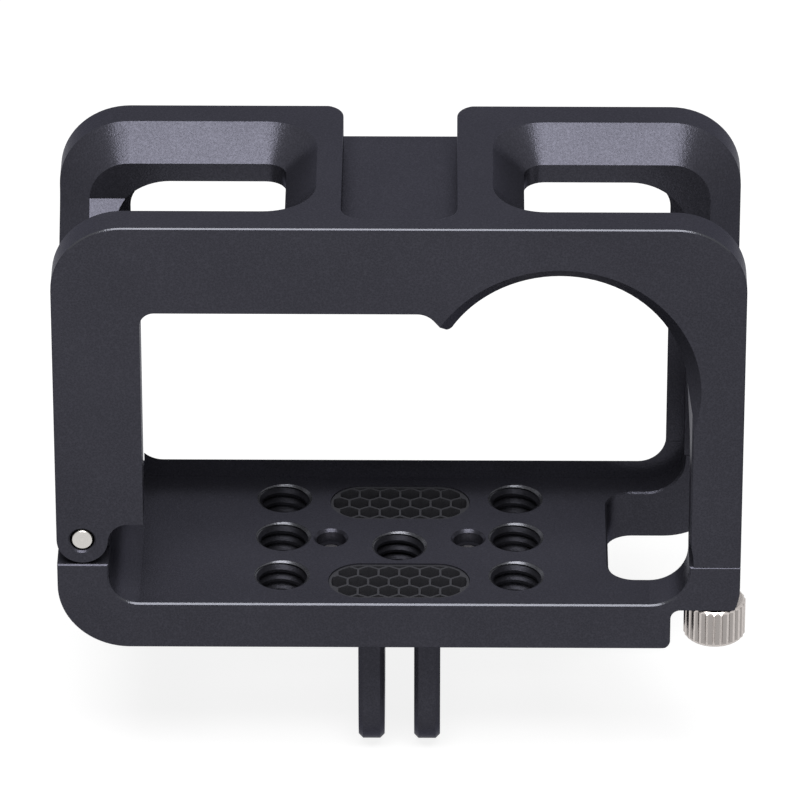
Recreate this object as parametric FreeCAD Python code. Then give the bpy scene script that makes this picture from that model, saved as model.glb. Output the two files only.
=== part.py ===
import FreeCAD, Part
import math
import os
from FreeCAD import Vector

# Hinged cage for an action camera, in millimetres: +X right, +Y to the back, +Z up.
# The origin is the centre of the bore through the two prongs under the cage.
# A size ending in _H is a height above the underside of the cage.
# A size ending in _D is a distance behind the front face.

# Outer block
WIDTH = 76.7
HEIGHT = 54.13
DEPTH = 28.7
CORNER_R = 8.0
FRONT_CHAMFER = 0.14
REAR_CHAMFER = 0.3

# Joint between the lower plate and the upper frame
PARTING_H = 10.8
PARTING_GAP = 0.05

# Bay that the camera stands in, and the window in its rear lip
BAY_WIDTH = 65.2
FLOOR_T = 5.8
ROOF_T = 5.74
FRONT_T = 4.0
REAR_LIP_T = 1.0
BAY_TOP_R = 6.8
BAY_LEFT_R = 3.4
BAY_RIGHT_R = 4.4
LIP_W = 2.05
LIP_LOW = 2.35
LIP_TOP = 3.45
LIP_FLARE = 0.8
REAR_WINDOW_R = 3.2
LIP_SLOT_X = 29.55
LIP_SLOT_W = 0.4
LIP_SLOT_H = 7.4
FLOOR_EDGE = 0.18

# Window in the front face
WINDOW_LEFT = 28.6
WINDOW_TOP_H = 43.4
WINDOW_LEFT_R = 1.6
CUSP_R = 2.4
CUSP_SLOPE = 50.0
CUSP_TIP_R = 0.46
CUSP_TIP_H = 41.24

# Lens opening
LENS_X = 17.8
LENS_H = 33.28
LENS_R = 14.15
LENS_BEVEL = 1.58
LENS_LEAVE_H = 35.2
LENS_END_H = 30.3

# Inner edge of the right post, and the hollow at its foot
POST_EDGE = 0.2
POST_HOLLOW_W = 0.5
POST_HOLLOW_H = 3.5

# Tapered windows over the two top corners
EAR_FRONT_D = 4.0
EAR_REAR_RIM = 4.04
EAR_TAPER = 3.5
EAR_R = 2.4
EAR_LEFT_END = 9.2
EAR_RIGHT_END = 10.35
EAR_LEFT_LEG = 2.4
EAR_RIGHT_LEG = 9.55

# Recess in the middle of the top
RECESS_W = 12.75
RECESS_DEPTH = 4.03
RECESS_D = 2.5
RECESS_R = 2.4
RECESS_REAR_R = 2.4
RECESS_EDGE_R = 0.25

# Hinge at the lower left
PIN_R = 1.3
PIN_H = 14.05
PIN_END_GAP = 0.15
PIN_CHAMFER = 0.2
PIN_BORE_R = 1.4
PIN_BORE_BEVEL = 0.2
KNUCKLE_R = 2.875
KNUCKLE_L = 4.0
KNUCKLE_GAP = 0.15
HINGE_BLOCK_H = 10.88
WALL_LOW_H = 17.3
BAR_LOW_H = 16.15
BAR_R = 2.3
BLOCK_EDGE = 0.15

# Lug and notch at the lower right
NOTCH_X = 30.6
LUG_H = 5.12
LUG_DEPTH = 5.62
NOTCH_R = 1.1

# Captive thumbscrew
SCREW_X = 35.65
SCREW_D = 3.1
KNOB_R = 3.5
KNOB_T = 4.55
KNOB_GAP = 0.2
KNOB_CHAMFER = 0.3
FLUTES = 26
FLUTE_R = 0.45
FLUTE_DEPTH = 0.22
FLUTE_TURN = 2.5
SHANK_R = 1.25
SHANK_REACH = 3.0
SHANK_CHAMFER = 0.4
SCREW_TRAVEL = 3.1
LUG_HOLE_R = 1.35
POST_HOLE_R = 1.55
POST_HOLE_SPARE = 1.0

# Retaining ring on the thumbscrew, and the well it moves in
RING_R = 1.95
RING_T = 0.4
RING_SPLIT = 0.9
RING_TOP_GAP = 0.05
GROOVE_R = 0.9
GROOVE_CLEAR = 0.05
WELL_R = 2.1

# Opening in the floor and the right wall for the camera's ports
PORT_X = 23.7
PORT_REAR_WALL = 4.18
PORT_TOP_H = 24.0
PORT_R = 3.0
PORT_EDGE = 0.2

# Tapped holes in the floor, at the major radius of their thread
TAP_R = 3.175
TAP_PITCH_X = 26.5
TAP_PITCH_Y = 8.4
TAP_D = 14.6
CENTRE_TAP_D = 12.65

# Honeycomb grilles in the floor
GRILLE_L = 15.9
GRILLE_W = 7.3
GRILLE_T = 1.5
GRILLE_FRONT = 5.1
GRILLE_REAR = 6.5
GRILLE_SUNK = 0.15
GRILLE_CLEAR = 0.05
GRILLE_RIM = 0.3
GRILLE_LEDGE = 0.6
CELL_PITCH = 2.33
CELL_WALL = 0.25

# Two-prong bracket
PRONG_T = 2.97
PRONG_GAP = 3.4
PRONG_R = 7.5
PRONG_BORE_R = 2.6
PRONG_BORE_DEPTH = 12.4
PRONG_D = 14.35
PRONG_CHAMFER = 0.5
FLANGE_END = 2.15
FLANGE_W = 9.4
FLANGE_T = 2.0
FLANGE_R = 2.0
FLANGE_CHAMFER = 0.3

# Screws that hold the bracket
FIX_PITCH = 15.65
FIX_R = 1.25
FIX_CLEAR = 0.1
FIX_HEAD_R = 2.0
FIX_HEAD_T = 1.3
FIX_HEAD_FILLET = 0.5
FIX_SOCKET_W = 1.5
FIX_SOCKET_T = 0.8
FIX_RIM_R = 1.7
FIX_SUNK = 1.55
FIX_RIM_EDGE = 0.3

# Planes that follow from the sizes above
FRONT = -PRONG_D
BACK = FRONT + DEPTH
BASE = PRONG_BORE_DEPTH
TOP = BASE + HEIGHT
HALF = WIDTH / 2
BAY = BAY_WIDTH / 2
FLOOR = BASE + FLOOR_T
ROOF = TOP - ROOF_T
PARTING = BASE + PARTING_H
BAY_FRONT = FRONT + FRONT_T
LIP = BACK - REAR_LIP_T
PIN_X = -HALF + KNUCKLE_R
PIN_Z = BASE + PIN_H
LUG_FRONT = FRONT + KNUCKLE_L + KNUCKLE_GAP
LUG_BACK = BACK - KNUCKLE_L - KNUCKLE_GAP
LENS_Z = BASE + LENS_H
WINDOW_TOP = BASE + WINDOW_TOP_H
GRILLE_YS = (FRONT + GRILLE_FRONT, BACK - GRILLE_REAR)
PORT_FRONT = FRONT + LUG_DEPTH
PORT_BACK = BACK - PORT_REAR_WALL
SCREW_Y = FRONT + SCREW_D
RING_TOP = PARTING - RING_TOP_GAP
RING_LOW = RING_TOP - RING_T
OVER = 2.0


def box(x0, x1, y0, y1, z0, z1):
    return Part.makeBox(x1 - x0, y1 - y0, z1 - z0, Vector(x0, y0, z0))


def rod_x(y, z, r, x0, x1):
    return Part.makeCylinder(r, x1 - x0, Vector(x0, y, z), Vector(1, 0, 0))


def rod_y(x, z, r, y0, y1):
    return Part.makeCylinder(r, y1 - y0, Vector(x, y0, z), Vector(0, 1, 0))


def rod_z(x, y, r, z0, z1):
    return Part.makeCylinder(r, z1 - z0, Vector(x, y, z0), Vector(0, 0, 1))


def on_xz(y):
    return lambda a, b: Vector(a, y, b)


def on_xy(z):
    return lambda a, b: Vector(a, b, z)


def on_yz(x):
    return lambda a, b: Vector(x, a, b)


def rounded_wire(corners, place):
    """Closed wire through (a, b, radius) corners, each corner rounded by its radius."""
    starts = []
    middles = []
    ends = []
    for i, (a, b, r) in enumerate(corners):
        here = Vector(a, b, 0)
        back = Vector(*corners[i - 1][:2], 0) - here
        ahead = Vector(*corners[(i + 1) % len(corners)][:2], 0) - here
        back.normalize()
        ahead.normalize()
        if r == 0:
            starts.append(here)
            middles.append(None)
            ends.append(here)
            continue
        half = back.getAngle(ahead) / 2
        inward = back + ahead
        inward.normalize()
        starts.append(here + back * (r / math.tan(half)))
        middles.append(here + inward * (r / math.sin(half) - r))
        ends.append(here + ahead * (r / math.tan(half)))
    edges = []
    for i, middle in enumerate(middles):
        if middle is not None:
            arc = [place(p.x, p.y) for p in (starts[i], middle, ends[i])]
            edges.append(Part.Arc(*arc).toShape())
        here = ends[i]
        there = starts[(i + 1) % len(corners)]
        if here.distanceToPoint(there) > 1e-7:
            edges.append(Part.makeLine(place(here.x, here.y), place(there.x, there.y)))
    return Part.Wire(edges)


def slab(corners, place, run):
    return Part.Face(rounded_wire(corners, place)).extrude(run)


def rectangle(a0, a1, b0, b1, r=0):
    return [(a0, b0, r), (a1, b0, r), (a1, b1, r), (a0, b1, r)]


def flat_edges(shape, axis, value):
    """Edges of a shape that lie in the plane axis = value."""
    found = []
    for edge in shape.Edges:
        low = getattr(edge.BoundBox, axis + "Min")
        high = getattr(edge.BoundBox, axis + "Max")
        if abs(low - value) < 1e-4 and abs(high - value) < 1e-4:
            found.append(edge)
    return found


def middle_of(edge):
    return edge.valueAt((edge.FirstParameter + edge.LastParameter) / 2)


def convex_corner(x, y, r, side, z0, z1):
    """What is cut away to round an upright edge at (x, y) that has material at its side and front."""
    x0 = min(x, x + side * r)
    square = box(x0, x0 + r, y - r, y + OVER, z0, z1)
    return square.cut(rod_z(x + side * r, y - r, r, z0, z1))


def outer_block():
    profile = rectangle(-HALF, HALF, BASE, TOP, CORNER_R)
    block = slab(profile, on_xz(FRONT), Vector(0, DEPTH, 0))
    block = block.makeChamfer(REAR_CHAMFER, flat_edges(block, "Y", BACK))
    return block.makeChamfer(FRONT_CHAMFER, flat_edges(block, "Y", FRONT))


def bay_space(y0, y1):
    profile = [(-BAY, FLOOR, BAY_LEFT_R), (BAY, FLOOR, BAY_RIGHT_R),
               (BAY, ROOF, BAY_TOP_R), (-BAY, ROOF, BAY_TOP_R)]
    return slab(profile, on_xz(y0), Vector(0, y1 - y0, 0))


def rear_window():
    """Window in the rear lip, wider at the back than at the camera."""
    half = BAY - LIP_W
    low = FLOOR + LIP_LOW
    high = ROOF - LIP_TOP
    inner = rectangle(-half, half, low, high, REAR_WINDOW_R)
    wide = LIP_FLARE * (REAR_LIP_T + OVER) / REAR_LIP_T
    outer = rectangle(-half - wide, half + wide, low - wide, high + wide, REAR_WINDOW_R + wide)
    flare = [rounded_wire(inner, on_xz(LIP)), rounded_wire(outer, on_xz(BACK + OVER))]
    flare = Part.makeLoft(flare, True, True)
    return slab(inner, on_xz(LIP - OVER), Vector(0, OVER + 0.01, 0)).fuse(flare)


def port_opening():
    """Cut through the floor and up the right wall, rounded at its three open corners."""
    y0 = PORT_FRONT
    y1 = PORT_BACK
    plan = [(PORT_X, y0, PORT_R), (HALF + OVER, y0, 0), (HALF + OVER, y1, 0), (PORT_X, y1, PORT_R)]
    low = slab(plan, on_xy(BASE - OVER), Vector(0, 0, PARTING_H + OVER))
    z = BASE + PORT_TOP_H
    side = [(y0, PARTING - OVER, 0), (y1, PARTING - OVER, 0), (y1, z, PORT_R), (y0, z, PORT_R)]
    return low, slab(side, on_yz(BAY - OVER), Vector(HALF - BAY + 2 * OVER, 0, 0))


def ear_window(block, side, end, leg):
    """Cut a window over a top corner, with a leg down the side, then widen it outwards at 45 degrees."""
    y0 = FRONT + EAR_FRONT_D + EAR_TAPER
    y1 = BACK - EAR_REAR_RIM - EAR_TAPER
    inner = side * (end + EAR_TAPER)
    outer = side * (HALF + OVER)
    low = TOP - CORNER_R - leg
    plan = [(inner, y0, EAR_R), (outer, y0, 0), (outer, y1, 0), (inner, y1, EAR_R)]
    side_view = [(y0, low, EAR_R), (y1 - EAR_R, low, 0), (y1, low + EAR_R, 0),
                 (y1, TOP + OVER, 0), (y0, TOP + OVER, 0)]
    tool = slab(plan, on_xy(low), Vector(0, 0, TOP + OVER - low))
    run = Vector(outer - inner, 0, 0)
    tool = tool.common(slab(side_view, on_yz(inner), run))
    opened = block.cut(tool)
    shell = block.Shells[0]
    rim = []
    for edge in opened.Edges:
        point = middle_of(edge)
        if y0 - 1e-4 < point.y < y1 + 1e-4 and point.x * side > abs(inner) - 1e-4 and point.z > low - 1e-4:
            if shell.distToShape(Part.Vertex(point))[0] < 1e-5:
                rim.append(edge)
    return opened.makeChamfer(EAR_TAPER, rim)


def top_recess():
    half = RECESS_W / 2
    z = TOP - RECESS_DEPTH
    y = FRONT + RECESS_D
    plan = [(-half, y, RECESS_R), (half, y, RECESS_R), (half, BACK + OVER, 0), (-half, BACK + OVER, 0)]
    tool = slab(plan, on_xy(z), Vector(0, 0, RECESS_DEPTH + OVER))
    for side in (-1, 1):
        tool = tool.fuse(convex_corner(side * half, BACK, RECESS_REAR_R, side, z, TOP + OVER))
    return tool


def round_recess_edge(body):
    """Round the upper edge of the recess, along its front and both sides."""
    half = RECESS_W / 2
    edges = []
    for edge in flat_edges(body, "Z", TOP):
        b = edge.BoundBox
        if abs(middle_of(edge).x) < half + 1e-3 and b.YMin > FRONT + RECESS_D - 1e-3 and b.YMax < BACK - 1:
            edges.append(edge)
    return body.makeFillet(RECESS_EDGE_R, edges)


def on_lens_circle(z, spare=0.0):
    """Where the left side of the lens opening is at height z, or a circle so much larger."""
    return LENS_X - math.sqrt((LENS_R + spare) ** 2 - (z - LENS_Z) ** 2)


def cusp(y0, y1, lens):
    """Thin cusp between the window and the lens opening, with a sloping left side and a round tip."""
    z = BASE + CUSP_TIP_H
    x = on_lens_circle(z, CUSP_TIP_R)
    slope = math.radians(CUSP_SLOPE)
    low_x = x - CUSP_TIP_R * math.sin(slope)
    low_z = z - CUSP_TIP_R * math.cos(slope)
    corner = low_x - (WINDOW_TOP - low_z) / math.tan(slope)
    start = corner - CUSP_R
    above = WINDOW_TOP + 1
    profile = [(start, above, 0), (start, WINDOW_TOP, 0), (corner, WINDOW_TOP, CUSP_R), (low_x, low_z, 0),
               (x, z, 0), (LENS_X, LENS_Z, 0), (LENS_X, above, 0)]
    body = slab(profile, on_xz(y0), Vector(0, y1 - y0, 0))
    return body.fuse(rod_y(x, z, CUSP_TIP_R, y0, y1)).cut(lens)


def front_window():
    """Rectangular window joined to the lens opening, with a thin cusp left between them."""
    y0 = FRONT - OVER
    y1 = BAY_FRONT + OVER
    run = Vector(0, y1 - y0, 0)
    place = on_xz(y0)
    low = PARTING - OVER
    left = slab([(-WINDOW_LEFT, low, 0), (LENS_X, low, 0), (LENS_X, WINDOW_TOP, 0),
                 (-WINDOW_LEFT, WINDOW_TOP, WINDOW_LEFT_R)], place, run)
    leave = math.sqrt(LENS_R ** 2 - (LENS_LEAVE_H - LENS_H) ** 2)
    right = slab([(0, low, 0), (BAY, low, 0), (BAY, BASE + LENS_END_H, 0),
                  (LENS_X + leave, BASE + LENS_LEAVE_H, 0), (0, BASE + LENS_LEAVE_H, 0)], place, run)
    lens = rod_y(LENS_X, LENS_Z, LENS_R, y0, y1)
    return left.fuse([right, lens]).cut(cusp(y0, y1, lens))


def lens_bevel():
    """45 degree bevel round the lens opening that runs out on the right post."""
    return Part.makeCone(LENS_R + LENS_BEVEL + 1, LENS_R, LENS_BEVEL + 1,
                         Vector(LENS_X, FRONT - 1, LENS_Z), Vector(0, 1, 0))


def post_edge():
    """Broken inner edge of the right post, and the hollow at its foot."""
    plan = [(BAY - 0.1, FRONT - 0.1, 0), (BAY + POST_EDGE + 0.1, FRONT - 0.1, 0),
            (BAY - 0.1, FRONT + POST_EDGE + 0.1, 0)]
    edge = slab(plan, on_xy(PARTING), Vector(0, 0, LENS_END_H - PARTING_H))
    x = BAY + POST_HOLLOW_W
    z = PARTING + POST_HOLLOW_H
    profile = [(BAY - 1, PARTING - 1, 0), (x, PARTING - 1, 0), (x, PARTING, 0),
               (BAY + 0.8 * POST_HOLLOW_W, PARTING + 0.4 * POST_HOLLOW_H, 2), (BAY, z, 0), (BAY - 1, z, 0)]
    hollow = slab(profile, on_xz(FRONT - 1), Vector(0, FRONT_T + 1, 0))
    return [edge, hollow]


def pin_bore(y0, y1):
    bore = rod_y(PIN_X, PIN_Z, PIN_BORE_R, y0 - OVER, y1 + OVER)
    wide = PIN_BORE_R + PIN_BORE_BEVEL
    bevel = Part.makeCone(wide, PIN_BORE_R, PIN_BORE_BEVEL, Vector(PIN_X, y0, PIN_Z), Vector(0, 1, 0))
    other = Part.makeCone(wide, PIN_BORE_R, PIN_BORE_BEVEL, Vector(PIN_X, y1, PIN_Z), Vector(0, -1, 0))
    return bore, bevel, other


def front_bar_foot():
    """Step at the foot of the left front bar, with its hollow corner above the knuckle."""
    z = BASE + BAR_LOW_H
    corner = box(-BAY, -BAY + BAR_R, FRONT, BAY_FRONT, z - BAR_R, z)
    corner = corner.cut(rod_y(-BAY + BAR_R, z - BAR_R, BAR_R, FRONT - 1, BAY_FRONT + 1))
    return box(-HALF, -BAY, FRONT, BAY_FRONT, PIN_Z, z).fuse(corner)


def upper_frame():
    block = outer_block()
    body = ear_window(block, -1, EAR_LEFT_END, EAR_LEFT_LEG)
    body = ear_window(body, 1, EAR_RIGHT_END, EAR_RIGHT_LEG)
    body = body.cut([bay_space(BAY_FRONT, LIP), rear_window(), top_recess(), front_window()])
    body = round_recess_edge(body)
    body = body.cut([lens_bevel(), port_opening()[1]])
    body = body.cut(post_edge())
    body = body.cut(box(-HALF - 1, HALF + 1, FRONT - 1, BACK + 1, BASE - 1, PARTING + PARTING_GAP))
    body = body.cut(box(-HALF - 1, -BAY, FRONT - 1, BACK + 1, BASE, BASE + WALL_LOW_H))
    body = body.cut(box(-HALF - 1, -WINDOW_LEFT + 1, FRONT - 1, BAY_FRONT, BASE, BASE + BAR_LOW_H))
    rear = box(-HALF, -BAY, LUG_BACK + KNUCKLE_GAP, BACK, PIN_Z, BASE + WALL_LOW_H)
    front = box(-HALF, -BAY, FRONT, BAY_FRONT, BASE + BAR_LOW_H, BASE + WALL_LOW_H)
    parts = [front_bar_foot(), front, rear]
    parts.append(rod_y(PIN_X, PIN_Z, KNUCKLE_R, FRONT, FRONT + KNUCKLE_L))
    parts.append(rod_y(PIN_X, PIN_Z, KNUCKLE_R, BACK - KNUCKLE_L, BACK))
    body = body.fuse([p.common(block) for p in parts])
    body = body.cut(list(pin_bore(FRONT, BACK)))
    top = PARTING + SHANK_REACH + POST_HOLE_SPARE
    body = body.cut(rod_z(SCREW_X, SCREW_Y, POST_HOLE_R, PARTING - 1, top))
    return body.removeSplitter()


def stadium(length, width, y, z, height):
    r = width / 2
    half = length / 2 - r
    middle = box(-half, half, y - r, y + r, z, z + height)
    ends = [rod_z(x, y, r, z, z + height) for x in (-half, half)]
    return middle.fuse(ends).removeSplitter()


def grille_slot(y):
    top = FLOOR - GRILLE_SUNK - GRILLE_T
    wide = stadium(GRILLE_L + 2 * GRILLE_CLEAR, GRILLE_W + 2 * GRILLE_CLEAR, y, top, GRILLE_T + OVER)
    narrow = stadium(GRILLE_L - 2 * GRILLE_LEDGE, GRILLE_W - 2 * GRILLE_LEDGE, y, BASE - OVER, FLOOR_T)
    return wide.fuse(narrow)


def hexagon(x, y, r, z0, z1):
    points = []
    for i in range(6):
        angle = math.radians(60 * i + 30)
        points.append(Vector(x + r * math.cos(angle), y + r * math.sin(angle), z0))
    face = Part.Face(Part.makePolygon(points + points[:1]))
    return face.extrude(Vector(0, 0, z1 - z0))


def grille(y):
    """Plate full of hexagonal cells, cut off by a plain rim."""
    z = FLOOR - GRILLE_SUNK - GRILLE_T
    plate = stadium(GRILLE_L, GRILLE_W, y, z, GRILLE_T)
    inside = stadium(GRILLE_L - 2 * GRILLE_RIM, GRILLE_W - 2 * GRILLE_RIM, y, z - 1, GRILLE_T + 2)
    row = CELL_PITCH * math.sqrt(3) / 2
    r = (CELL_PITCH - CELL_WALL) / math.sqrt(3)
    cells = []
    for j in range(-2, 3):
        for i in range(-4, 5):
            x = (i + 0.5 * (j % 2)) * CELL_PITCH
            cell = hexagon(x, y + j * row, r, z - 1, z + GRILLE_T + 1).common(inside)
            if cell.Volume > 0.3:
                cells.append(cell)
    return plate.cut(cells)


def notch():
    """Space under the lug where the knob sits."""
    run = Vector(0, LUG_DEPTH + OVER, 0)
    place = on_xz(FRONT - OVER)
    z = BASE + LUG_H
    profile = [(NOTCH_X, BASE - OVER, 0), (HALF + OVER, BASE - OVER, 0),
               (HALF + OVER, z, 0), (NOTCH_X, z, NOTCH_R)]
    tool = slab(profile, place, run)
    square = box(NOTCH_X - NOTCH_R, NOTCH_X, FRONT - 1, PORT_FRONT, BASE - 1, BASE + NOTCH_R)
    keep = rod_y(NOTCH_X - NOTCH_R, BASE + NOTCH_R, NOTCH_R, FRONT - OVER, FRONT + LUG_DEPTH + OVER)
    return tool.fuse(square.cut(keep))


def front_wedge(z, x0, x1):
    """What is cut away to break the front edge of a ledge at height z."""
    edge = BLOCK_EDGE + 0.1
    profile = [(FRONT - 0.1, z - edge, 0), (FRONT + edge, z + 0.1, 0), (FRONT - 0.1, z + 0.1, 0)]
    return slab(profile, on_yz(x0), Vector(x1 - x0, 0, 0))


def lip_slot():
    """Narrow slot at the left end of the low rear lip."""
    x = -LIP_SLOT_X
    return box(x - LIP_SLOT_W, x, LIP - 0.5, BACK + 1, BASE + LIP_SLOT_H, PARTING + 1)


def break_floor_edges(body, size, x0, x1, y0, y1):
    """Chamfer the edges of the floor's top face that lie inside a rectangle."""
    edges = []
    for edge in flat_edges(body, "Z", FLOOR):
        b = edge.BoundBox
        if b.XMin > x0 - 1e-3 and b.XMax < x1 + 1e-3 and b.YMin > y0 - 1e-3 and b.YMax < y1 + 1e-3:
            edges.append(edge)
    return body.makeChamfer(size, edges)


def tapped_holes():
    holes = [(0, FRONT + CENTRE_TAP_D)]
    for i in (-1, 1):
        for j in (-1, 0, 1):
            holes.append((i * TAP_PITCH_X / 2, FRONT + TAP_D + j * TAP_PITCH_Y))
    return [rod_z(x, y, TAP_R, BASE - 1, FLOOR + 1) for x, y in holes]


def base_plate():
    block = outer_block()
    body = block.cut(box(-HALF - 1, HALF + 1, FRONT - 1, BACK + 1, PARTING, TOP + 1))
    body = body.fuse(block.common(box(-HALF, -BAY, FRONT, BACK, FLOOR, BASE + HINGE_BLOCK_H)))
    body = body.cut([bay_space(FRONT - 1, LIP), rear_window()]).removeSplitter()
    inner = [e for e in flat_edges(body, "Y", FRONT)
             if abs(middle_of(e).x) < BAY + 1e-4 and middle_of(e).z > FLOOR - 1e-4]
    body = body.makeChamfer(FLOOR_EDGE, inner)
    body = body.cut([front_wedge(PARTING, BAY - 1, HALF), front_wedge(BASE + HINGE_BLOCK_H, -HALF, -BAY + 1)])
    body = body.cut([port_opening()[0], notch(), lip_slot()])
    body = break_floor_edges(body, PORT_EDGE, PORT_X - 0.1, BAY, PORT_FRONT + PORT_R, PORT_BACK + 0.1)
    body = body.fuse([box(-HALF, -BAY, LUG_FRONT, LUG_BACK, FLOOR + BAY_LEFT_R, PIN_Z),
                      rod_y(PIN_X, PIN_Z, KNUCKLE_R, LUG_FRONT, LUG_BACK)])
    body = body.cut(rod_y(PIN_X, PIN_Z, PIN_R, FRONT, BACK))
    body = body.cut(tapped_holes())
    for x in (-FIX_PITCH / 2, FIX_PITCH / 2):
        body = body.cut(rod_z(x, 0, FIX_R, BASE - 1, FLOOR))
        body = body.cut(rod_z(x, 0, FIX_RIM_R, FLOOR - FIX_SUNK, FLOOR + 1))
        reach = FIX_RIM_R + 0.1
        body = break_floor_edges(body, FIX_RIM_EDGE, x - reach, x + reach, -reach, reach)
    body = body.cut([grille_slot(y) for y in GRILLE_YS])
    body = body.cut(rod_z(SCREW_X, SCREW_Y, LUG_HOLE_R, BASE, PARTING + 1))
    well = rod_z(SCREW_X, SCREW_Y, WELL_R, RING_LOW - SCREW_TRAVEL - RING_TOP_GAP, PARTING + 1)
    return body.cut(well).removeSplitter()


def hinge_pin():
    pin = rod_y(PIN_X, PIN_Z, PIN_R, FRONT + PIN_END_GAP, BACK - PIN_END_GAP)
    ends = [e for e in pin.Edges if e.BoundBox.YLength < 1e-6]
    return pin.makeChamfer(PIN_CHAMFER, ends)


def thumbscrew():
    top = BASE + LUG_H - KNOB_GAP
    knob = rod_z(SCREW_X, SCREW_Y, KNOB_R, top - KNOB_T, top)
    rims = [e for e in knob.Edges if e.BoundBox.ZLength < 1e-6]
    knob = knob.makeChamfer(KNOB_CHAMFER, rims)
    reach = KNOB_R + FLUTE_R - FLUTE_DEPTH
    flutes = []
    for i in range(FLUTES):
        angle = 2 * math.pi * i / FLUTES - math.radians(FLUTE_TURN)
        x = SCREW_X + reach * math.cos(angle)
        y = SCREW_Y + reach * math.sin(angle)
        flutes.append(rod_z(x, y, FLUTE_R, top - KNOB_T - 1, top + 1))
    knob = knob.cut(flutes)
    shank = rod_z(SCREW_X, SCREW_Y, SHANK_R, top - 1, PARTING + SHANK_REACH)
    shank = shank.makeChamfer(SHANK_CHAMFER, flat_edges(shank, "Z", PARTING + SHANK_REACH))
    low = RING_LOW - GROOVE_CLEAR
    high = RING_TOP + GROOVE_CLEAR
    groove = rod_z(SCREW_X, SCREW_Y, SHANK_R + 1, low, high)
    groove = groove.cut(rod_z(SCREW_X, SCREW_Y, GROOVE_R, low, high))
    return knob.fuse(shank).cut(groove).removeSplitter()


def screw_retaining_ring():
    """Split ring that turns freely in the groove of the thumbscrew."""
    ring = rod_z(SCREW_X, SCREW_Y, RING_R, RING_LOW, RING_TOP)
    ring = ring.cut(rod_z(SCREW_X, SCREW_Y, GROOVE_R + GROOVE_CLEAR, RING_LOW, RING_TOP))
    half = RING_SPLIT / 2
    gap = box(SCREW_X - half, SCREW_X + half, SCREW_Y, SCREW_Y + RING_R + 1, RING_LOW - 1, RING_TOP + 1)
    return ring.cut(gap)


def prong(x0):
    """One flat prong with a round lower end and chamfered sides."""
    plate = rod_x(0, 0, PRONG_R, x0, x0 + PRONG_T)
    plate = plate.fuse(box(x0, x0 + PRONG_T, -PRONG_R, PRONG_R, 0, BASE)).removeSplitter()
    rims = [e for e in flat_edges(plate, "X", x0) + flat_edges(plate, "X", x0 + PRONG_T)
            if middle_of(e).z < BASE - 0.1]
    return plate.makeChamfer(PRONG_CHAMFER, rims)


def two_prong_bracket():
    length = FIX_PITCH / 2 + FLANGE_END
    width = FLANGE_W / 2
    low = BASE - FLANGE_T
    flange = slab(rectangle(-length, length, -width, width, FLANGE_R), on_xy(low), Vector(0, 0, FLANGE_T))
    flange = flange.makeChamfer(FLANGE_CHAMFER, flat_edges(flange, "Z", low))
    start = PRONG_GAP / 2
    body = flange.fuse([prong(start), prong(-start - PRONG_T)])
    body = body.cut(rod_x(0, 0, PRONG_BORE_R, -HALF, HALF))
    for x in (-FIX_PITCH / 2, FIX_PITCH / 2):
        body = body.cut(rod_z(x, 0, FIX_R + FIX_CLEAR, low - 1, BASE + 1))
    return body.removeSplitter()


def bracket_screw(x):
    seat = BASE - FLANGE_T
    head = rod_z(x, 0, FIX_HEAD_R, seat - FIX_HEAD_T, seat)
    rim = flat_edges(head, "Z", seat - FIX_HEAD_T)
    head = head.makeFillet(FIX_HEAD_FILLET, rim)
    socket = hexagon(x, 0, FIX_SOCKET_W / math.sqrt(3), seat - FIX_HEAD_T - 1,
                     seat - FIX_HEAD_T + FIX_SOCKET_T)
    shank = rod_z(x, 0, FIX_R, seat - 0.2, FLOOR - FIX_SUNK)
    shank = shank.makeChamfer(0.25, flat_edges(shank, "Z", FLOOR - FIX_SUNK))
    return head.fuse(shank).cut(socket).removeSplitter()


def bracket_screws():
    return Part.makeCompound([bracket_screw(x) for x in (-FIX_PITCH / 2, FIX_PITCH / 2)])


PIECES = {
    "upper_frame": upper_frame,
    "base_plate": base_plate,
    "hinge_pin": hinge_pin,
    "thumbscrew": thumbscrew,
    "screw_retaining_ring": screw_retaining_ring,
    "two_prong_bracket": two_prong_bracket,
    "bracket_screws": bracket_screws,
    "front_grille": lambda: grille(GRILLE_YS[0]),
    "rear_grille": lambda: grille(GRILLE_YS[1]),
}

os.makedirs("parts", exist_ok=True)
for name, make in PIECES.items():
    shape = make()
    shape.exportStep("parts/" + name + ".step")
    print(name, "valid", shape.isValid(), "solids", len(shape.Solids), "volume", round(shape.Volume, 2))
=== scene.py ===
import math

import bpy
from mathutils import Matrix, Vector


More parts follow.
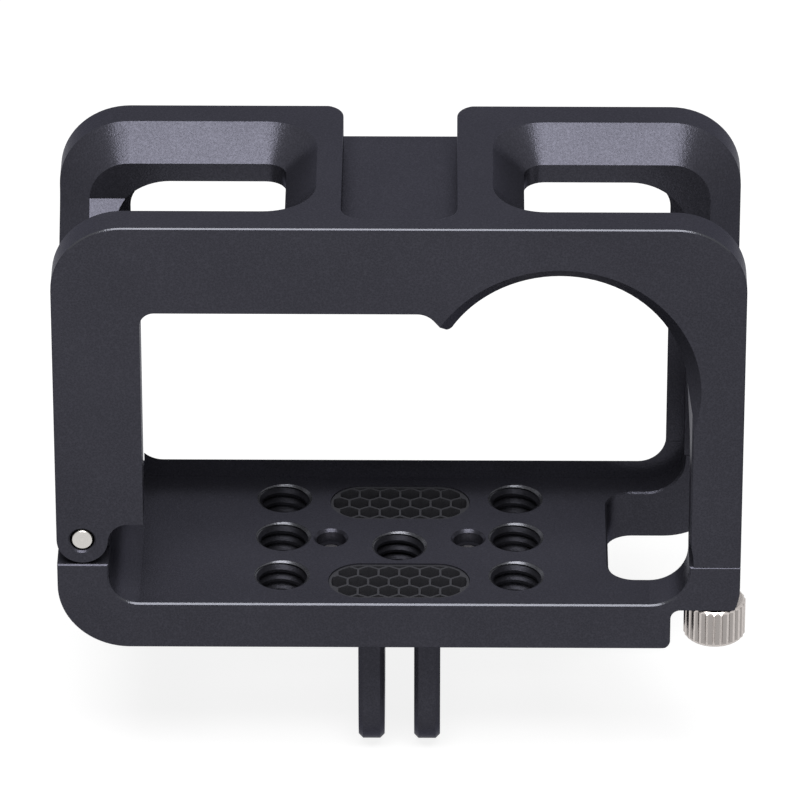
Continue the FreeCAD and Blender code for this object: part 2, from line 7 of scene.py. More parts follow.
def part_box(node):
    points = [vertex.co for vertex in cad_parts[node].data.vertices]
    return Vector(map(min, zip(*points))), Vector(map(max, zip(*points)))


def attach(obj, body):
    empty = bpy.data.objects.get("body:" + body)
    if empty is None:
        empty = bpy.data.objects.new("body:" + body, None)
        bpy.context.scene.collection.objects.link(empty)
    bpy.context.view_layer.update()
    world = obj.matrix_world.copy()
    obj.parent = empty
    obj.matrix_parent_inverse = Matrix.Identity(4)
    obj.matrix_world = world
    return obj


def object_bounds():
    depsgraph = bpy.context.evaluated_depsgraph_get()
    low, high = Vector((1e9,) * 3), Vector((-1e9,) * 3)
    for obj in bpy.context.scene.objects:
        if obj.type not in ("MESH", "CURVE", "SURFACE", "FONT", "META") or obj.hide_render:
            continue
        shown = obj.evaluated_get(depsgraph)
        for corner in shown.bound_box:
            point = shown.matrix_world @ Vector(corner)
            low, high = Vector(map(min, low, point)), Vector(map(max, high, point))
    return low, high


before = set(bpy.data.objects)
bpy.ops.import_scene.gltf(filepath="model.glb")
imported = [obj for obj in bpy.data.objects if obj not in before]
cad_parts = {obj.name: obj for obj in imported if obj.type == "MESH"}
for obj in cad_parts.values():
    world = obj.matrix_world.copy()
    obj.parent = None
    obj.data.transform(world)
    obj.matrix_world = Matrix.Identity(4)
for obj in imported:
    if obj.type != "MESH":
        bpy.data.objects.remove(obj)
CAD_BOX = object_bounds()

bl_info = {
    "name": "Action camera cage",
    "version": (1, 0, 0),
    "blender": (4, 5, 0),
    "location": "3D View > Sidebar > Camera cage",
    "description": "Finishes, screw threads and studio for a hinged action camera cage",
    "category": "Object",
}

MM = 0.001

# Faces of the cage and the two turned parts, from the frame
FLOOR_THICKNESS = 5.8 * MM
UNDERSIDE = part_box("base_plate")[0].z
FLOOR_TOP = UNDERSIDE + FLOOR_THICKNESS
FRAME_LOW, FRAME_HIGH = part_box("upper_frame")
FRONT = FRAME_LOW.y
TOP = FRAME_HIGH.z
PIN_LOW, PIN_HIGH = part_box("hinge_pin")
PIN_MIDDLE = (PIN_LOW + PIN_HIGH) / 2
PIN_RADIUS = (PIN_HIGH.x - PIN_LOW.x) / 2
KNOB_LOW, KNOB_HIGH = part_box("thumbscrew")
KNOB_MIDDLE = (KNOB_LOW + KNOB_HIGH) / 2
KNOB_RADIUS = (KNOB_HIGH.x - KNOB_LOW.x) / 2

# Making the thread sleeves
SIDES = 48                # of everything turned
MERGE = 0.001 * MM        # points nearer than this are one point
CREST_FLAT = 0.25         # flat of a thread's crest, as a share of its pitch
ROOT_FLAT = 0.12          # flat of its root, as a share of its pitch
SLEEVE_GAP = 0.02 * MM    # a sleeve ends this far below the floor's faces
TAP_EXTRA = 0.3 * MM      # a tap sticks out of both ends of its hole by this much
CONE_EXTRA = 0.1 * MM     # a countersinking cone sticks out of a sleeve by this much
SMOOTH_ANGLE = math.radians(30)

# Bright chamfers: nearest and farthest behind the front face, reach below the top,
# and the heights above the underside and above the floor between which the low ones lie
CUT_EDGE_NEAR, CUT_EDGE_FAR, CUT_EDGE_SOFT = 0.005 * MM, 0.22 * MM, 0.02 * MM
CUT_EDGE_TOP, CUT_EDGE_TOP_SOFT = 3 * MM, 0.5 * MM
CUT_EDGE_LOW, CUT_EDGE_HIGH, CUT_EDGE_LOW_SOFT = 2 * MM, 1.2 * MM, 1 * MM
CUT_EDGE_POLISH = 0.12    # how much less rough a bright chamfer is

# Countersinks of the tapped holes: depth below the floor's faces
RIM_DEPTH, RIM_SOFT = 0.3 * MM, 0.05 * MM

# Painted shade: a dark ring in the gap round the end of the pin, and darker bottoms of the knob's
# fluted grooves
PIN_SHADE_WIDTH = 0.16 * MM
FLUTE_INNER, FLUTE_OUTER = 0.6 * MM, 0.1 * MM
FLUTE_LOW, FLUTE_HIGH = 0.3 * MM, 4.25 * MM
RING_SOFT = 0.03 * MM

# Finishes: depth of the bump, and how far tone and roughness wander from the stated ones
BLAST_DEPTH, BLAST_DRIFT, BLAST_ROUGHNESS = 0.03 * MM, 1.5, 0.07
BLAST_GLINT = (0.55, 0.55, 0.6, 1)
LINE_DEPTH, LINE_DARK, LINE_LIGHT = 0.02 * MM, 0.8, 1.15
LINE_SMOOTH, LINE_ROUGH = 0.06, 0.08

# Softboxes: degrees above the horizon, distance in metres, width and height in metres
KEY_LIGHT = (60, 0.6, (0.45, 0.3))
FRONT_LIGHT = (12, 0.7, (0.5, 0.5))
FLOOR_SIZE = 6            # metres
FLOOR_GREY = 0.25
FLOOR_GLOW = 0.85         # tone of the floor as the camera and reflections see it

# Which sockets of a Mix node it uses when it mixes colours
MIX_FACTOR, MIX_LOW, MIX_HIGH, MIX_RESULT = 0, 6, 7, 2


class CageThreads(bpy.types.PropertyGroup):
    pitch: bpy.props.FloatProperty(
        name="Pitch", description="Rise of the tapped thread in one turn",
        default=1.27 * MM, min=0.2 * MM, unit="LENGTH", precision=5)
    wall: bpy.props.FloatProperty(
        name="Wall radius", description="Radius of the plain hole that the thread stands in",
        default=3.175 * MM, min=1 * MM, unit="LENGTH", precision=5)
    crest: bpy.props.FloatProperty(
        name="Crest radius", description="Radius at the crests of the thread",
        default=2.62 * MM, min=0.5 * MM, unit="LENGTH", precision=5)
    root: bpy.props.FloatProperty(
        name="Root radius", description="Radius at the bottom of the thread's groove",
        default=3.1 * MM, min=0.5 * MM, unit="LENGTH", precision=5)
    countersink: bpy.props.FloatProperty(
        name="Countersink", description="Depth of the 45 degree countersink at both ends",
        default=0.35 * MM, min=0, unit="LENGTH", precision=5)
    spacing: bpy.props.FloatVectorProperty(
        name="Spacing", description="Pitch of the grid of holes, across and front to back",
        default=(13.25 * MM, 8.4 * MM), size=2, unit="LENGTH", precision=5)
    grid_y: bpy.props.FloatProperty(
        name="Grid centre", description="Place of the middle row of holes, front to back",
        default=0.25 * MM, unit="LENGTH", precision=5)
    centre_y: bpy.props.FloatProperty(
        name="Centre hole", description="Place of the single hole on the centre line",
        default=-1.7 * MM, unit="LENGTH", precision=5)


class CageColours(bpy.types.PropertyGroup):
    anodised: bpy.props.FloatVectorProperty(
        name="Anodised", description="Colour of the black anodised alloy",
        default=(0.0325, 0.0323, 0.0405), size=3, subtype="COLOR", min=0, max=1)
    anodised_roughness: bpy.props.FloatProperty(
        name="Anodised roughness", description="Roughness of the bead blasted surface",
        default=0.3, min=0, max=1, subtype="FACTOR")
    sheen: bpy.props.FloatProperty(
        name="Metal share", description="Share of the anodised surface that reflects as metal",
        default=0.6, min=0, max=1, subtype="FACTOR")
    cut_edge: bpy.props.FloatVectorProperty(
        name="Cut edge", description="Colour of the edges that were cut bright after blasting",
        default=(0.05, 0.051, 0.058), size=3, subtype="COLOR", min=0, max=1)
    hole_rim: bpy.props.FloatVectorProperty(
        name="Hole rim", description="Colour of the countersinks of the tapped holes",
        default=(0.075, 0.076, 0.085), size=3, subtype="COLOR", min=0, max=1)
    # painted shade: the threads are darker than the blasted faces, for the shade inside the holes
    thread: bpy.props.FloatVectorProperty(
        name="Thread", description="Colour of the threads, darker than the blasted faces",
        default=(0.014, 0.014, 0.017), size=3, subtype="COLOR", min=0, max=1)
    grille: bpy.props.FloatVectorProperty(
        name="Grille", description="Colour of the honeycomb grilles",
        default=(0.05, 0.05, 0.056), size=3, subtype="COLOR", min=0, max=1)
    nickel: bpy.props.FloatVectorProperty(
        name="Nickel", description="Colour of the plated thumbscrew",
        default=(0.50, 0.463, 0.443), size=3, subtype="COLOR", min=0, max=1)
    steel: bpy.props.FloatVectorProperty(
        name="Steel", description="Colour of the pin, ring and screws",
        default=(0.53, 0.515, 0.495), size=3, subtype="COLOR", min=0, max=1)


class CageStudio(bpy.types.PropertyGroup):
    lens: bpy.props.FloatProperty(
        name="Lens", description="Focal length of the camera on a 36 mm sensor, in millimetres",
        default=362.81, min=10)
    aim: bpy.props.FloatVectorProperty(
        name="Aim", description="Point at the middle of the picture",
        default=(0.042 * MM, -0.176 * MM, 36.539 * MM), size=3,
        subtype="TRANSLATION", unit="LENGTH")
    distance: bpy.props.FloatProperty(
        name="Distance", description="From the camera to its aim",
        default=910 * MM, min=0.01, unit="LENGTH")
    pitch: bpy.props.FloatProperty(
        name="Pitch", description="How far the camera looks down",
        default=math.radians(30.46), subtype="ANGLE", unit="ROTATION")
    yaw: bpy.props.FloatProperty(
        name="Yaw", description="How far the camera looks to the left",
        default=math.radians(0.401), subtype="ANGLE", unit="ROTATION")
    key_power: bpy.props.FloatProperty(
        name="Key power", description="Power of the softbox high above the front",
        default=5.25, min=0, unit="POWER")
    front_power: bpy.props.FloatProperty(
        name="Front power", description="Power of the wide light low in front",
        default=1.0, min=0, unit="POWER")
    fill: bpy.props.FloatProperty(
        name="Fill", description="Strength of the even light from all round",
        default=0.15, min=0)


def feed(tree, socket, value):
    """Give an input its value, or link it where the value is another node's output."""
    if isinstance(value, bpy.types.NodeSocket):
        tree.links.new(value, socket)
    else:
        socket.default_value = value


def feed_all(tree, node, **values):
    """Feed a node's inputs by name, with an underscore for each space."""
    for name, value in values.items():
        feed(tree, node.inputs[name.replace("_", " ")], value)


def add(tree, kind, **values):
    """Add a node; a name that the node itself has is set there, and the others are inputs."""
    node = tree.nodes.new(kind)
    for name, value in values.items():
        if hasattr(node, name):
            setattr(node, name, value)
        else:
            feed_all(tree, node, **{name: value})
    return node


def maths(tree, operation, *values):
    """Result of a Math node fed with numbers or other nodes' outputs."""
    node = add(tree, "ShaderNodeMath", operation=operation)
    for socket, value in zip(node.inputs, values):
        feed(tree, socket, value)
    return node.outputs[0]


def node_group(name, inputs, outputs):
    """New group with its input and output nodes; each input has a kind and a default."""
    group = bpy.data.node_groups.new(name, "ShaderNodeTree")
    for label, kind, default in inputs:
        socket = group.interface.new_socket(label, in_out="INPUT", socket_type=kind)
        if default is not None:
            socket.default_value = default
    for label, kind in outputs:
        group.interface.new_socket(label, in_out="OUTPUT", socket_type=kind)
    return group, group.nodes.new("NodeGroupInput"), group.nodes.new("NodeGroupOutput")


def separated(tree, vector):
    """The X, Y and Z of a vector, by name."""
    return add(tree, "ShaderNodeSeparateXYZ", Vector=vector).outputs


def radius_about_z(tree, parts):
    """Distance from the Z axis, from a vector's parts."""
    squares = [maths(tree, "MULTIPLY", parts[axis], parts[axis]) for axis in "XY"]
    return maths(tree, "SQRT", maths(tree, "ADD", *squares))


def bead_blast_group():
    """Fine pits of a bead blasted surface, and a slow drift of tone over it."""
    group, given, out = node_group(
        "Bead blast",
        [("Vector", "NodeSocketVector", None), ("Grain Size", "NodeSocketFloat", 0.22 * MM),
         ("Drift", "NodeSocketFloat", 0.2), ("Speckle", "NodeSocketFloat", 0.55)],
        [("Height", "NodeSocketFloat"), ("Tone", "NodeSocketFloat")])
    place = given.outputs["Vector"]
    scale = maths(group, "DIVIDE", 1.0, given.outputs["Grain Size"])
    pits = add(group, "ShaderNodeTexNoise", Vector=place, Scale=scale, Detail=2.0, Roughness=0.6)
    cells = add(group, "ShaderNodeTexVoronoi", Vector=place, Scale=scale)
    slow = add(group, "ShaderNodeTexNoise", Vector=place, Scale=55.0, Detail=3.0, Roughness=0.55)
    wide = add(group, "ShaderNodeMapRange", Value=slow.outputs["Fac"], From_Min=0.3, From_Max=0.7)
    spread = maths(group, "SUBTRACT", wide.outputs["Result"], 0.5)
    drift = maths(group, "MULTIPLY", spread, given.outputs["Drift"])
    fine = maths(group, "SUBTRACT", cells.outputs["Distance"], 0.45)
    speckle = maths(group, "MULTIPLY", fine, given.outputs["Speckle"])
    tone = maths(group, "ADD", maths(group, "ADD", drift, 0.5), speckle)
    feed_all(group, out, Tone=tone, Height=pits.outputs["Fac"])


def turned_group():
    """Fine rings or lines left by a tool about an axis along local Z."""
    group, given, out = node_group(
        "Turned lines",
        [("Vector", "NodeSocketVector", None), ("Spacing", "NodeSocketFloat", 0.12 * MM),
         ("Along", "NodeSocketFloat", 0.0)],
        [("Height", "NodeSocketFloat"), ("Lines", "NodeSocketFloat")])
    parts = separated(group, given.outputs["Vector"])
    climb = maths(group, "MULTIPLY", parts["Z"], given.outputs["Along"])
    run = maths(group, "ADD", radius_about_z(group, parts), climb)
    phase = maths(group, "DIVIDE", run, given.outputs["Spacing"])
    noise = add(group, "ShaderNodeTexNoise", noise_dimensions="1D", W=phase,
                Scale=1.0, Detail=2.0, Roughness=0.7)
    wave = maths(group, "SINE", maths(group, "MULTIPLY", phase, 2 * math.pi))
    height = maths(group, "ADD", noise.outputs["Fac"], maths(group, "MULTIPLY", wave, 0.1))
    feed_all(group, out, Height=height, Lines=noise.outputs["Fac"])


def object_vector(tree, centre=(0, 0, 0), turn=(0, 0, 0)):
    """Object coordinates about a centre, turned so that a chosen axis is local Z."""
    coord = add(tree, "ShaderNodeTexCoord")
    shift = add(tree, "ShaderNodeMapping", vector_type="POINT", Vector=coord.outputs["Object"],
                Location=tuple(-c for c in centre))
    spin = add(tree, "ShaderNodeMapping", Vector=shift.outputs["Vector"], Rotation=turn)
    return spin.outputs["Vector"]


def new_material(name):
    """New material with its node tree and shader."""
    material = bpy.data.materials.new(name)
    material.use_nodes = True
    return material, material.node_tree, material.node_tree.nodes["Principled BSDF"]


def mixed(tree, factor, low, high):
    """Colour from low, a colour or a node's output, to high, a colour."""
    mix = add(tree, "ShaderNodeMix", data_type="RGBA")
    feed(tree, mix.inputs[MIX_FACTOR], factor)
    feed(tree, mix.inputs[MIX_LOW], (*low, 1) if isinstance(low, tuple) else low)
    feed(tree, mix.inputs[MIX_HIGH], (*high, 1))
    return mix.outputs[MIX_RESULT]


def ranged(tree, value, low, high):
    """A value from 0 to 1, spread between two others."""
    return add(tree, "ShaderNodeMapRange", Value=value, To_Min=low, To_Max=high).outputs["Result"]


def bumped(tree, height, strength, distance):
    """Normal of a surface with a relief of this height."""
    bump = add(tree, "ShaderNodeBump", Height=height, Strength=strength, Distance=distance)
    return bump.outputs["Normal"]


def between(tree, value, low, high, soft):
    """1 where the value lies between two bounds, with soft ends."""
    ends = [add(tree, "ShaderNodeMapRange", Value=value, From_Min=start, From_Max=end)
            for start, end in ((low, low + soft), (high, high - soft))]
    return maths(tree, "MULTIPLY", *(end.outputs["Result"] for end in ends))


def cut_edge_mask(tree, vector):
    """The narrow chamfers just behind the front face, along the top and the floor."""
    parts = separated(tree, vector)
    near = between(tree, parts["Y"], FRONT + CUT_EDGE_NEAR, FRONT + CUT_EDGE_FAR, CUT_EDGE_SOFT)
    top = between(tree, parts["Z"], TOP - CUT_EDGE_TOP, TOP + MM, CUT_EDGE_TOP_SOFT)
    low = between(tree, parts["Z"], UNDERSIDE + CUT_EDGE_LOW, FLOOR_TOP + CUT_EDGE_HIGH,
                  CUT_EDGE_LOW_SOFT)
    return maths(tree, "MULTIPLY", near, maths(tree, "MAXIMUM", top, low))


def hole_rim_mask(tree, vector):
    """The countersinks at the two ends of a hole through the floor."""
    height = separated(tree, vector)["Z"]
    inside = between(tree, height, UNDERSIDE + RIM_DEPTH, FLOOR_TOP - RIM_DEPTH, RIM_SOFT)
    return maths(tree, "SUBTRACT", 1.0, inside)


def ring_mask(tree, vector, inner, outer, low, high):
    """1 between two radii about local Z and between two heights along it."""
    parts = separated(tree, vector)
    ring = between(tree, radius_about_z(tree, parts), inner, outer, RING_SOFT)
    span = between(tree, parts["Z"], low, high, RING_SOFT)
    return maths(tree, "MULTIPLY", ring, span)


def anodised_material(name, colour, metal, roughness, grain=0.22 * MM, bump=0.8,
                      cut_edge=None, mask_of=cut_edge_mask):
    """Bead blasted alloy, with another colour where a mask finds bright cut edges."""
    material, tree, shader = new_material(name)
    vector = object_vector(tree)
    blast = add(tree, "ShaderNodeGroup", node_tree=bpy.data.node_groups["Bead blast"],
                Vector=vector, Grain_Size=grain).outputs
    dark = tuple(c / BLAST_DRIFT for c in colour)
    light = tuple(min(1, c * BLAST_DRIFT) for c in colour)
    tint = mixed(tree, blast["Tone"], dark, light)
    dull = ranged(tree, blast["Height"], roughness - BLAST_ROUGHNESS, roughness + BLAST_ROUGHNESS)
    if cut_edge:
        mask = mask_of(tree, vector)
        tint = mixed(tree, mask, tint, cut_edge)
        dull = maths(tree, "SUBTRACT", dull, maths(tree, "MULTIPLY", mask, CUT_EDGE_POLISH))
    feed_all(tree, shader, Base_Color=tint, Roughness=dull, Metallic=metal,
             Normal=bumped(tree, blast["Height"], bump, BLAST_DEPTH),
             Specular_IOR_Level=0.0, Specular_Tint=BLAST_GLINT)
    return material


def turned_metal(name, colour, roughness, spacing, bump, along=0.0,
                 centre=(0, 0, 0), turn=(0, 0, 0), painted_shade_ring=None, shade_tone=1.0):
    """Turned metal; a ring of painted shade has two radii, two heights and a share of the colour.
    """
    material, tree, shader = new_material(name)
    vector = object_vector(tree, centre, turn)
    lines = add(tree, "ShaderNodeGroup", node_tree=bpy.data.node_groups["Turned lines"],
                Vector=vector, Spacing=spacing, Along=along).outputs
    dark = tuple(c * LINE_DARK for c in colour)
    light = tuple(min(1, c * LINE_LIGHT) for c in colour)
    tint = mixed(tree, lines["Lines"], dark, light)
    if painted_shade_ring:
        mask = ring_mask(tree, vector, *painted_shade_ring)
        # painted shade: darkens the ring, for the shade in the pin's gap and in the knob's grooves
        tint = mixed(tree, mask, tint, tuple(c * shade_tone for c in colour))
    dull = ranged(tree, lines["Lines"], roughness - LINE_SMOOTH, roughness + LINE_ROUGH)
    feed_all(tree, shader, Base_Color=tint, Roughness=dull, Metallic=1.0,
             Normal=bumped(tree, lines["Height"], bump, LINE_DEPTH))
    return material


def dress(piece, material):
    """Give a piece or a node one material all over."""
    piece.data.materials.clear()
    piece.data.materials.append(material)


def deselect():
    """Leave edit mode and select nothing."""
    if bpy.context.mode != "OBJECT":
        bpy.ops.object.mode_set(mode="OBJECT")
    bpy.ops.object.select_all(action="DESELECT")


def select_only(piece):
    deselect()
    piece.select_set(True)
    bpy.context.view_layer.objects.active = piece


def settle(piece):
    """Put a finished piece's place into its mesh."""
    select_only(piece)
    bpy.ops.object.transform_apply(location=True, rotation=True, scale=True)


def apply_modifier(piece, kind, **settings):
    """Add a modifier with its settings and apply it."""
    select_only(piece)
    modifier = piece.modifiers.new(kind.title(), kind)
    for name, value in settings.items():
        setattr(modifier, name, value)
    bpy.ops.object.modifier_apply(modifier=modifier.name)


def select_vertices(piece, test):
    """Leave a piece in edit mode with only the vertices that pass the test selected."""
    select_only(piece)
    bpy.ops.object.mode_set(mode="EDIT")
    bpy.ops.mesh.select_mode(type="VERT")
    bpy.ops.mesh.select_all(action="DESELECT")
    bpy.ops.object.mode_set(mode="OBJECT")
    for vertex in piece.data.vertices:
        vertex.select = test(vertex.co)
    bpy.ops.object.mode_set(mode="EDIT")


def merge_doubles(piece):
    """Merge a piece's doubles and leave it in edit mode with everything selected."""
    select_only(piece)
    bpy.ops.object.mode_set(mode="EDIT")
    bpy.ops.mesh.select_all(action="SELECT")
    bpy.ops.mesh.remove_doubles(threshold=MERGE)


def face_outwards():
    """Turn all faces of the piece in edit mode outwards, and leave edit mode."""
    bpy.ops.mesh.select_all(action="SELECT")
    bpy.ops.mesh.normals_make_consistent(inside=False)
    bpy.ops.object.mode_set(mode="OBJECT")


def turned(low_radius, high_radius, low, high):
    """Cylinder or cone about the Z axis between two heights."""
    deselect()
    bpy.ops.mesh.primitive_cone_add(vertices=SIDES, radius1=low_radius, radius2=high_radius,
                                    depth=high - low, location=(0, 0, (low + high) / 2))
    piece = bpy.context.object
    settle(piece)
    return piece


def cut(piece, tool):
    """Take the tool out of the piece and delete the tool."""
    apply_modifier(piece, "BOOLEAN", operation="DIFFERENCE", solver="EXACT", object=tool)
    bpy.data.objects.remove(tool)


def tap(threads, height):
    """Solid with the outline of the thread, a little longer than the hole."""
    middle = (threads.crest + threads.root) / 2
    low = -threads.pitch
    crest_flat = CREST_FLAT * threads.pitch
    root_flat = ROOT_FLAT * threads.pitch
    groove = threads.pitch - crest_flat
    deselect()
    bpy.ops.mesh.primitive_plane_add(size=1, rotation=(math.pi / 2, 0, 0),
                                     location=(middle, 0, low))
    piece = bpy.context.object
    piece.scale = (threads.root - threads.crest, groove, 1)
    settle(piece)
    select_vertices(piece, lambda co: co.x > middle)
    bpy.ops.transform.resize(value=(1, 1, root_flat / groove),
                             center_override=(threads.root, 0, low))
    select_vertices(piece, lambda co: co.x < middle)
    bpy.ops.mesh.delete(type="EDGE_FACE")
    select_vertices(piece, lambda co: co.x < middle and co.z > low)
    bpy.ops.mesh.extrude_region_move(TRANSFORM_OT_translate={"value": (0, 0, crest_flat)})
    bpy.ops.object.mode_set(mode="OBJECT")
    turns = math.ceil(height / threads.pitch) + 2
    apply_modifier(piece, "SCREW", angle=2 * math.pi, screw_offset=threads.pitch,
                   iterations=turns, steps=SIDES, render_steps=SIDES)
    merge_doubles(piece)
    for end, side in ((-TAP_EXTRA, "clear_inner"), (height + TAP_EXTRA, "clear_outer")):
        bpy.ops.mesh.select_all(action="SELECT")
        bpy.ops.mesh.bisect(plane_co=(0, 0, end), plane_no=(0, 0, 1), use_fill=True,
                            threshold=MERGE, **{side: True})
    face_outwards()
    return piece


def threaded_sleeve(threads):
    """Lining of one tapped hole at the origin, with a countersink at both ends."""
    height = FLOOR_TOP - UNDERSIDE
    low, high = SLEEVE_GAP, height - SLEEVE_GAP
    wall = threads.wall - SLEEVE_GAP / 2
    rim = threads.wall - SLEEVE_GAP
    slope = threads.countersink
    sleeve = turned(wall, wall, low, high)
    cut(sleeve, tap(threads, height))
    cut(sleeve, turned(rim - slope, rim + CONE_EXTRA, high - slope, high + CONE_EXTRA))
    cut(sleeve, turned(rim + CONE_EXTRA, rim - slope, low - CONE_EXTRA, low + slope))
    merge_doubles(sleeve)
    face_outwards()
    return sleeve


class CAGE_OT_anodised_parts(bpy.types.Operator):
    """Finish the frame, base plate and bracket in black anodised, bead blasted alloy"""
    bl_idname = "camera_cage.anodised_parts"
    bl_label = "Anodised parts"

    def execute(self, context):
        colours = context.scene.cage_colours
        bead_blast_group()
        alloy = anodised_material("Black anodised alloy", colours.anodised, colours.sheen,
                                  colours.anodised_roughness, cut_edge=colours.cut_edge)
        for node in ("upper_frame", "base_plate", "two_prong_bracket"):
            dress(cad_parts[node], alloy)
        return {"FINISHED"}


class CAGE_OT_grilles(bpy.types.Operator):
    """Finish the two honeycomb grilles in a matt black"""
    bl_idname = "camera_cage.grilles"
    bl_label = "Honeycomb grilles"

    def execute(self, context):
        colours = context.scene.cage_colours
        mesh_metal = anodised_material("Matt black grille", colours.grille, colours.sheen,
                                       roughness=0.5, grain=0.12 * MM, bump=0.15)
        for node in ("front_grille", "rear_grille"):
            dress(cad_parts[node], mesh_metal)
        return {"FINISHED"}


class CAGE_OT_hinge_pin(bpy.types.Operator):
    """Finish the hinge pin in bright turned steel"""
    bl_idname = "camera_cage.hinge_pin"
    bl_label = "Hinge pin"

    def execute(self, context):
        turned_group()
        # painted shade: a near black ring in the gap round the end of the pin, where it sits in its
        # bore
        pin_gap_shade = (PIN_RADIUS - PIN_SHADE_WIDTH, PIN_RADIUS + MM, -PIN_HIGH.y - MM, -PIN_LOW.y + MM)
        steel = turned_metal("Turned pin steel", context.scene.cage_colours.steel, roughness=0.3,
                             spacing=0.11 * MM, bump=0.3, centre=(PIN_MIDDLE.x, 0, PIN_MIDDLE.z),
                             turn=(math.radians(90), 0, 0), painted_shade_ring=pin_gap_shade, shade_tone=0.06)
        dress(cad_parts["hinge_pin"], steel)
        return {"FINISHED"}


class CAGE_OT_thumbscrew(bpy.types.Operator):
    """Finish the knurled thumbscrew in nickel and its retaining ring in spring steel"""
    bl_idname = "camera_cage.thumbscrew"
    bl_label = "Thumbscrew and ring"

    def execute(self, context):
        colours = context.scene.cage_colours
        axis = (KNOB_MIDDLE.x, KNOB_MIDDLE.y, 0)
        # painted shade: darker bottoms of the knob's fluted grooves
        flute_shade = (KNOB_RADIUS - FLUTE_INNER, KNOB_RADIUS - FLUTE_OUTER,
                  KNOB_LOW.z + FLUTE_LOW, KNOB_LOW.z + FLUTE_HIGH)
        nickel = turned_metal("Nickel plated knurl", colours.nickel, roughness=0.26,
                              spacing=0.16 * MM, bump=0.25, along=0.35, centre=axis,
                              painted_shade_ring=flute_shade, shade_tone=0.6)
        spring = turned_metal("Spring steel", colours.steel, roughness=0.34,
                              spacing=0.1 * MM, bump=0.2, centre=axis)
        dress(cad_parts["thumbscrew"], nickel)
        dress(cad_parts["screw_retaining_ring"], spring)
        return {"FINISHED"}


class CAGE_OT_bracket_screws(bpy.types.Operator):
    """Finish the two screws that hold the bracket in bright steel"""
    bl_idname = "camera_cage.bracket_screws"
    bl_label = "Bracket screws"

    def execute(self, context):
        steel = turned_metal("Bright screw steel", context.scene.cage_colours.steel,
                             roughness=0.3, spacing=0.13 * MM, bump=0.3, along=1.0)
        dress(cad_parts["bracket_screws"], steel)
        return {"FINISHED"}


class CAGE_OT_tapped_threads(bpy.types.Operator):
    """Line the tapped holes of the floor with their threads"""
    bl_idname = "camera_cage.tapped_threads"
    bl_label = "Tapped threads"

    def execute(self, context):
        threads = context.scene.cage_threads
        colours = context.scene.cage_colours
        across, back = threads.spacing
        places = [(0, threads.centre_y)]
        places += [(i * across, threads.grid_y + j * back) for i in (-1, 1) for j in (-1, 0, 1)]
        first = threaded_sleeve(threads)
        # painted shade: the threads' darker colour stands for the shade inside the tapped holes
        dress(first, anodised_material("Tapped alloy", colours.thread, colours.sheen, roughness=0.4,
                                       cut_edge=colours.hole_rim, mask_of=hole_rim_mask))
        sleeves = [first]
        for _ in places[1:]:
            sleeve = first.copy()
            sleeve.data = first.data.copy()
            context.scene.collection.objects.link(sleeve)
            sleeves.append(sleeve)
        for index, (sleeve, (x, y)) in enumerate(zip(sleeves, places)):
            sleeve.name = "tapped_thread_" + str(index + 1)
            sleeve.location = (x, y, UNDERSIDE)
            settle(sleeve)
            bpy.ops.object.shade_smooth_by_angle(angle=SMOOTH_ANGLE)
            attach(sleeve, "base")
        return {"FINISHED"}


def seen_ray(tree):
    """1 for what the camera sees, directly, in reflections or through glass."""
    path = add(tree, "ShaderNodeLightPath").outputs
    seen = maths(tree, "MAXIMUM", path["Is Camera Ray"], path["Is Glossy Ray"])
    return maths(tree, "MAXIMUM", seen, path["Is Transmission Ray"])


def floor_material():
    """Pale floor that shows near white to the camera and to reflections, and keeps the shadow."""
    material, tree, shader = new_material("Pale floor")
    glow = maths(tree, "MULTIPLY", seen_ray(tree), FLOOR_GLOW)
    feed_all(tree, shader, Base_Color=(FLOOR_GREY, FLOOR_GREY, FLOOR_GREY, 1), Roughness=0.9,
             Specular_IOR_Level=0.0, Emission_Color=(1, 1, 1, 1), Emission_Strength=glow)
    return material


def add_floor():
    """Lay the studio's floor under the lowest point of the cage."""
    low = min(corner[2] for corner in CAD_BOX)
    deselect()
    bpy.ops.mesh.primitive_plane_add(size=FLOOR_SIZE, location=(0, 0, low))
    floor = bpy.context.object
    floor.name = "studio_floor"
    dress(floor, floor_material())
    settle(floor)


def add_world(strength):
    """Even light from all round, seen as white by the camera and by reflections."""
    world = bpy.data.worlds.new("Studio")
    bpy.context.scene.world = world
    world.use_nodes = True
    tree = world.node_tree
    extra = maths(tree, "MULTIPLY", seen_ray(tree), 1.0 - strength)
    feed_all(tree, tree.nodes["Background"], Color=(1, 1, 1, 1),
             Strength=maths(tree, "ADD", extra, strength))


def add_softbox(name, aim, power, rise, distance, size):
    """Area light straight in front of the aim and raised by an angle, that faces it."""
    up = math.radians(rise)
    direction = Vector((0, -math.cos(up), math.sin(up)))
    light = bpy.data.lights.new(name, "AREA")
    light.shape = "RECTANGLE"
    light.size, light.size_y = size
    light.energy = power
    lamp = bpy.data.objects.new(name, light)
    bpy.context.scene.collection.objects.link(lamp)
    lamp.location = aim + direction * distance
    lamp.rotation_euler = direction.to_track_quat("Z", "Y").to_euler()


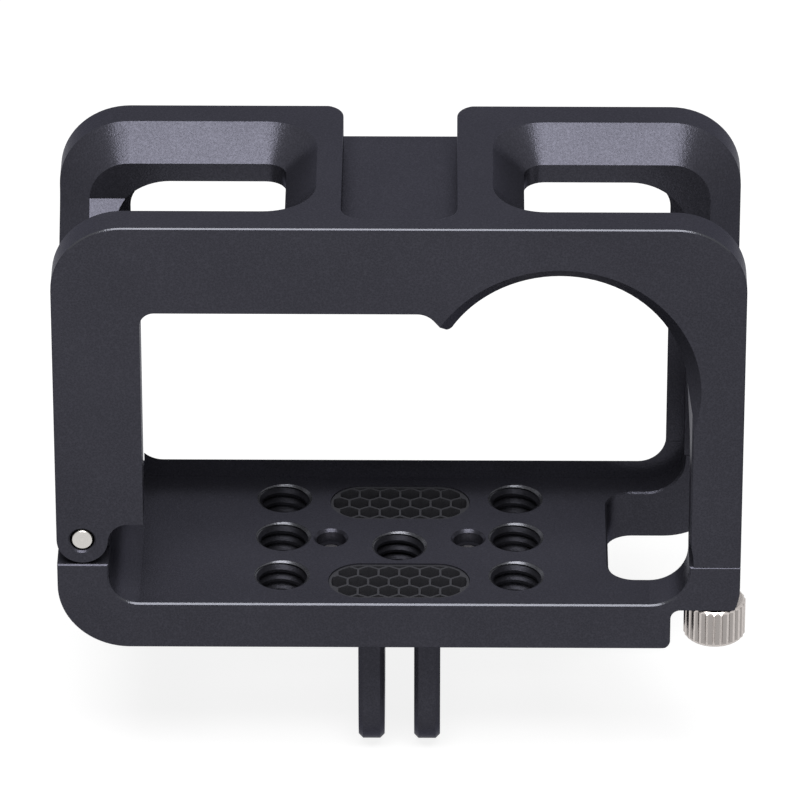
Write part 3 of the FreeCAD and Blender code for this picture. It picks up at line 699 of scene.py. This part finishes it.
def add_camera(studio, aim):
    """Camera that looks at the aim from the front, down and a little to the left."""
    ahead = Vector((-math.sin(studio.yaw) * math.cos(studio.pitch),
                    math.cos(studio.yaw) * math.cos(studio.pitch), -math.sin(studio.pitch)))
    right = Vector((math.cos(studio.yaw), math.sin(studio.yaw), 0))
    up = right.cross(ahead)
    data = bpy.data.cameras.new("Studio camera")
    data.lens = studio.lens
    data.sensor_width = 36
    data.clip_start = 0.01
    camera = bpy.data.objects.new("Studio camera", data)
    bpy.context.scene.collection.objects.link(camera)
    turn = Matrix((right, up, -ahead)).transposed().to_4x4()
    camera.matrix_world = Matrix.Translation(aim - ahead * studio.distance) @ turn
    bpy.context.scene.camera = camera


class CAGE_OT_stage(bpy.types.Operator):
    """Set up the pale floor, the lights and the camera"""
    bl_idname = "camera_cage.stage"
    bl_label = "Studio"

    def execute(self, context):
        studio = context.scene.cage_studio
        aim = Vector(studio.aim)
        add_floor()
        add_world(studio.fill)
        add_softbox("softbox_key", aim, studio.key_power, *KEY_LIGHT)
        add_softbox("softbox_front", aim, studio.front_power, *FRONT_LIGHT)
        add_camera(studio, aim)
        context.scene.view_settings.view_transform = "Standard"
        return {"FINISHED"}


class CAGE_PT_panel(bpy.types.Panel):
    """Steps and sizes of the camera cage"""
    bl_idname = "CAGE_PT_panel"
    bl_label = "Camera cage"
    bl_space_type = "VIEW_3D"
    bl_region_type = "UI"
    bl_category = "Camera cage"

    def draw(self, context):
        for step in STEPS:
            self.layout.operator(step.bl_idname)
        for name in GROUPS:
            group = getattr(context.scene, name)
            column = self.layout.column()
            for setting in group.__annotations__:
                column.prop(group, setting)


GROUPS = {"cage_threads": CageThreads, "cage_colours": CageColours, "cage_studio": CageStudio}
STEPS = (CAGE_OT_anodised_parts, CAGE_OT_grilles, CAGE_OT_hinge_pin, CAGE_OT_thumbscrew,
         CAGE_OT_bracket_screws, CAGE_OT_tapped_threads, CAGE_OT_stage)


def register():
    for name, group in GROUPS.items():
        bpy.utils.register_class(group)
        setattr(bpy.types.Scene, name, bpy.props.PointerProperty(type=group))
    for step in STEPS:
        bpy.utils.register_class(step)
    bpy.utils.register_class(CAGE_PT_panel)


def unregister():
    bpy.utils.unregister_class(CAGE_PT_panel)
    for step in reversed(STEPS):
        bpy.utils.unregister_class(step)
    for name, group in GROUPS.items():
        delattr(bpy.types.Scene, name)
        bpy.utils.unregister_class(group)


def main():
    """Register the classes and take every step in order."""
    register()
    for step in STEPS:
        area, action = step.bl_idname.split(".")
        getattr(getattr(bpy.ops, area), action)()


if __name__ == "__main__":
    main()
